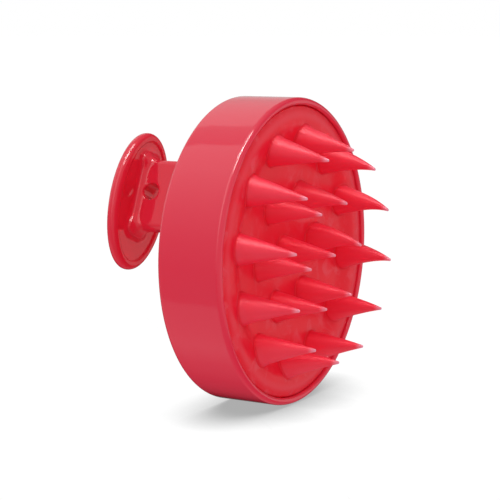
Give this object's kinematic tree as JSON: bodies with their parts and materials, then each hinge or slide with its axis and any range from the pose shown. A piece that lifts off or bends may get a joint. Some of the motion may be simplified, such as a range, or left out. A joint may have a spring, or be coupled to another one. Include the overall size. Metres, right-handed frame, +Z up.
{
  "type": "scalp massager brush",
  "caption": "Round hand-held shampoo brush: a drum with a dished pad of soft cone bristles, and an oval finger grip on a flat neck with a hanging hole.",
  "frame": {"origin": "bottom centre of the bounding box, where the drum's rim stands on the floor", "axes": "+Z up; +Y along the drum's axis from the bristles to the grip, so the bristles face -Y; +X to the right seen from the bristles"},
  "size_m": [0.0848, 0.0724, 0.0848],
  "materials": {
    "shell_plastic": "polished moulded ABS, coral red",
    "pad_silicone": "satin silicone, red",
    "bristle_silicone": "satin, slightly translucent silicone, coral red",
    "inner_plastic": "plain moulded plastic",
    "screw_steel": "zinc-plated steel"
  },
  "bodies": {
    "brush": {"drum_shell": "shell_plastic", "silicone_pad": "pad_silicone", "pad_carrier": "inner_plastic", "retaining_ring": "inner_plastic", "grip": "shell_plastic", "knob_cap": "shell_plastic", "grip_screw_1": "screw_steel", "grip_screw_2": "screw_steel"},
    "bristle_centre": {"bristle_centre": "bristle_silicone"},
    "bristle_inner_1": {"bristle_inner_1": "bristle_silicone"},
    "bristle_inner_2": {"bristle_inner_2": "bristle_silicone"},
    "bristle_inner_3": {"bristle_inner_3": "bristle_silicone"},
    "bristle_inner_4": {"bristle_inner_4": "bristle_silicone"},
    "bristle_inner_5": {"bristle_inner_5": "bristle_silicone"},
    "bristle_inner_6": {"bristle_inner_6": "bristle_silicone"},
    "bristle_outer_1": {"bristle_outer_1": "bristle_silicone"},
    "bristle_outer_2": {"bristle_outer_2": "bristle_silicone"},
    "bristle_outer_3": {"bristle_outer_3": "bristle_silicone"},
    "bristle_outer_4": {"bristle_outer_4": "bristle_silicone"},
    "bristle_outer_5": {"bristle_outer_5": "bristle_silicone"},
    "bristle_outer_6": {"bristle_outer_6": "bristle_silicone"},
    "bristle_outer_7": {"bristle_outer_7": "bristle_silicone"},
    "bristle_outer_8": {"bristle_outer_8": "bristle_silicone"},
    "bristle_outer_9": {"bristle_outer_9": "bristle_silicone"},
    "bristle_outer_10": {"bristle_outer_10": "bristle_silicone"},
    "bristle_outer_11": {"bristle_outer_11": "bristle_silicone"},
    "bristle_outer_12": {"bristle_outer_12": "bristle_silicone"}
  },
  "joints": [
    {"name": "bristle_centre_flex", "type": "hinge", "parent": "brush", "child": "bristle_centre", "pos_m": [0, -0.0195, 0.04241], "axis": [0.9212, 0, -0.3891], "range_deg": [-15, 15], "stiffness_Nm_per_rad": 0.005},
    {"name": "bristle_inner_1_flex", "type": "hinge", "parent": "brush", "child": "bristle_inner_1", "pos_m": [0.00613, -0.02096, 0.05691], "axis": [0.9212, 0, -0.3891], "range_deg": [-15, 15], "stiffness_Nm_per_rad": 0.005},
    {"name": "bristle_inner_2_flex", "type": "hinge", "parent": "brush", "child": "bristle_inner_2", "pos_m": [0.01562, -0.02096, 0.04435], "axis": [0.9212, 0, -0.3891], "range_deg": [-15, 15], "stiffness_Nm_per_rad": 0.005},
    {"name": "bristle_inner_3_flex", "type": "hinge", "parent": "brush", "child": "bristle_inner_3", "pos_m": [0.0095, -0.02096, 0.02985], "axis": [0.9212, 0, -0.3891], "range_deg": [-15, 15], "stiffness_Nm_per_rad": 0.005},
    {"name": "bristle_inner_4_flex", "type": "hinge", "parent": "brush", "child": "bristle_inner_4", "pos_m": [-0.00613, -0.02096, 0.0279], "axis": [0.9212, 0, -0.3891], "range_deg": [-15, 15], "stiffness_Nm_per_rad": 0.005},
    {"name": "bristle_inner_5_flex", "type": "hinge", "parent": "brush", "child": "bristle_inner_5", "pos_m": [-0.01562, -0.02096, 0.04046], "axis": [0.9212, 0, -0.3891], "range_deg": [-15, 15], "stiffness_Nm_per_rad": 0.005},
    {"name": "bristle_inner_6_flex", "type": "hinge", "parent": "brush", "child": "bristle_inner_6", "pos_m": [-0.0095, -0.02096, 0.05497], "axis": [0.9212, 0, -0.3891], "range_deg": [-15, 15], "stiffness_Nm_per_rad": 0.005},
    {"name": "bristle_outer_1_flex", "type": "hinge", "parent": "brush", "child": "bristle_outer_1", "pos_m": [0.01869, -0.02294, 0.06642], "axis": [0.9212, 0, -0.3891], "range_deg": [-15, 15], "stiffness_Nm_per_rad": 0.005},
    {"name": "bristle_outer_2_flex", "type": "hinge", "parent": "brush", "child": "bristle_outer_2", "pos_m": [0.0282, -0.02294, 0.05386], "axis": [0.9212, 0, -0.3891], "range_deg": [-15, 15], "stiffness_Nm_per_rad": 0.005},
    {"name": "bristle_outer_3_flex", "type": "hinge", "parent": "brush", "child": "bristle_outer_3", "pos_m": [0.03014, -0.02294, 0.03823], "axis": [0.9212, 0, -0.3891], "range_deg": [-15, 15], "stiffness_Nm_per_rad": 0.005},
    {"name": "bristle_outer_4_flex", "type": "hinge", "parent": "brush", "child": "bristle_outer_4", "pos_m": [0.02401, -0.02294, 0.02371], "axis": [0.9212, 0, -0.3891], "range_deg": [-15, 15], "stiffness_Nm_per_rad": 0.005},
    {"name": "bristle_outer_5_flex", "type": "hinge", "parent": "brush", "child": "bristle_outer_5", "pos_m": [0.01145, -0.02294, 0.01421], "axis": [0.9212, 0, -0.3891], "range_deg": [-15, 15], "stiffness_Nm_per_rad": 0.005},
    {"name": "bristle_outer_6_flex", "type": "hinge", "parent": "brush", "child": "bristle_outer_6", "pos_m": [-0.00418, -0.02294, 0.01226], "axis": [0.9212, 0, -0.3891], "range_deg": [-15, 15], "stiffness_Nm_per_rad": 0.005},
    {"name": "bristle_outer_7_flex", "type": "hinge", "parent": "brush", "child": "bristle_outer_7", "pos_m": [-0.01869, -0.02294, 0.0184], "axis": [0.9212, 0, -0.3891], "range_deg": [-15, 15], "stiffness_Nm_per_rad": 0.005},
    {"name": "bristle_outer_8_flex", "type": "hinge", "parent": "brush", "child": "bristle_outer_8", "pos_m": [-0.0282, -0.02294, 0.03096], "axis": [0.9212, 0, -0.3891], "range_deg": [-15, 15], "stiffness_Nm_per_rad": 0.005},
    {"name": "bristle_outer_9_flex", "type": "hinge", "parent": "brush", "child": "bristle_outer_9", "pos_m": [-0.03014, -0.02294, 0.04659], "axis": [0.9212, 0, -0.3891], "range_deg": [-15, 15], "stiffness_Nm_per_rad": 0.005},
    {"name": "bristle_outer_10_flex", "type": "hinge", "parent": "brush", "child": "bristle_outer_10", "pos_m": [-0.02401, -0.02294, 0.0611], "axis": [0.9212, 0, -0.3891], "range_deg": [-15, 15], "stiffness_Nm_per_rad": 0.005},
    {"name": "bristle_outer_11_flex", "type": "hinge", "parent": "brush", "child": "bristle_outer_11", "pos_m": [-0.01145, -0.02294, 0.07061], "axis": [0.9212, 0, -0.3891], "range_deg": [-15, 15], "stiffness_Nm_per_rad": 0.005},
    {"name": "bristle_outer_12_flex", "type": "hinge", "parent": "brush", "child": "bristle_outer_12", "pos_m": [0.00418, -0.02294, 0.07255], "axis": [0.9212, 0, -0.3891], "range_deg": [-15, 15], "stiffness_Nm_per_rad": 0.005}
  ]
}
